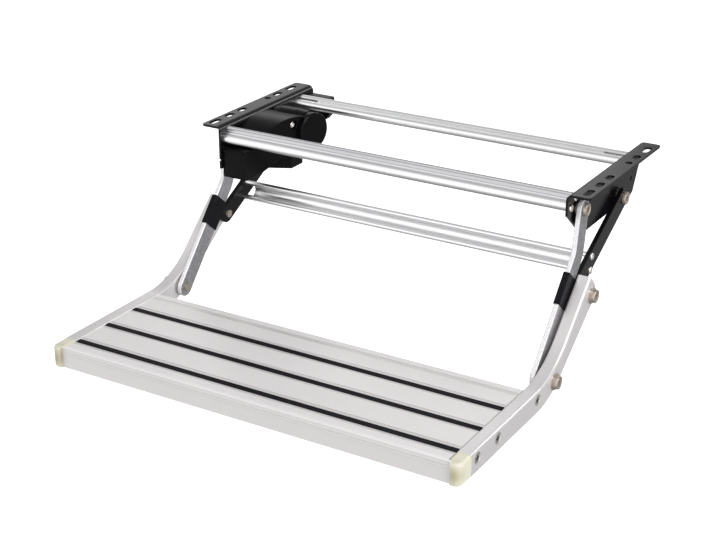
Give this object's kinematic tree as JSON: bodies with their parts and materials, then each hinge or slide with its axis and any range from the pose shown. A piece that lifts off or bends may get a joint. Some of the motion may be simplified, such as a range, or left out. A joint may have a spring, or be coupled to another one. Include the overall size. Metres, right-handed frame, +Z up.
{
  "type": "caravan entry step",
  "caption": "Fold-out caravan entry step with a ribbed aluminium tread between bent side rails, hung on link arms from floor brackets, with a motor drive at one side.",
  "frame": {"origin": "midway between the round datum holes of the two flanges, on the mounting face", "axes": "+X across the step, to the right as seen from the tread's front; +Y under the vehicle; +Z up through the mounting face"},
  "size_m": [0.564, 0.5375, 0.2192],
  "materials": {
    "black_paint": "satin black powder coat",
    "bright_aluminium": "bright drawn aluminium",
    "anodised_aluminium": "matt anodised",
    "galvanised_steel": "dull galvanised, bright sheared edges",
    "stainless_steel": "satin stainless",
    "black_rubber": "matt black",
    "ivory_plastic": "satin ivory moulding",
    "black_plastic": "fine textured black moulding",
    "motor_paint": "semi-matt black"
  },
  "bodies": {
    "frame": {"left_bracket": "black_paint", "right_bracket": "black_paint", "front_crossbar": "bright_aluminium", "rear_crossbar": "bright_aluminium", "crossbar_screws": "stainless_steel", "front_pivot_bolt": "stainless_steel", "rear_pivot_bolts": "stainless_steel", "web_spacers": "stainless_steel", "gear_case": "black_plastic", "gear_lid_screw": "stainless_steel", "motor_can": "motor_paint", "motor_cap": "black_plastic", "cable_socket": "black_plastic", "switch_box": "black_plastic"},
    "front_links": {"left_front_link": "galvanised_steel", "right_front_link": "galvanised_steel", "left_bumper_sleeve": "black_rubber", "right_bumper_sleeve": "black_rubber", "output_shaft": "stainless_steel"},
    "rear_links": {"left_rear_link": "black_paint", "right_rear_link": "black_paint", "lower_crossbar": "bright_aluminium", "lower_crossbar_screws": "stainless_steel", "arm_pins": "stainless_steel", "arm_spacers": "stainless_steel"},
    "tread": {"left_side_rail": "anodised_aluminium", "right_side_rail": "anodised_aluminium", "tread_board": "anodised_aluminium", "front_grip_strip": "black_rubber", "middle_grip_strip": "black_rubber", "rear_grip_strip": "black_rubber", "left_end_cap": "ivory_plastic", "right_end_cap": "ivory_plastic", "rail_screws": "stainless_steel", "tread_pivot_bolts": "stainless_steel", "arm_pivot_bolts": "stainless_steel", "rail_washers": "stainless_steel", "tread_pivot_spacers": "stainless_steel"}
  },
  "joints": [
    {"name": "fold", "type": "hinge", "parent": "frame", "child": "front_links", "pos_m": [0, -0.1086, -0.0264], "axis": [1, 0, 0], "range_deg": [0, 90.14]},
    {"name": "rear_link_hinge", "type": "hinge", "parent": "frame", "child": "rear_links", "pos_m": [0, 0.017, -0.0522], "axis": [1, 0, 0], "range_deg": [0, 140.05]},
    {"name": "tread_hinge", "type": "hinge", "parent": "front_links", "child": "tread", "pos_m": [0, -0.2193, -0.1974], "axis": [1, 0, 0], "range_deg": [-100.58, 0]}
  ],
  "couplings": [
    {"joint": "rear_link_hinge", "follows": "fold", "ratio": 1.5531},
    {"joint": "tread_hinge", "follows": "fold", "ratio": -1.1153}
  ]
}
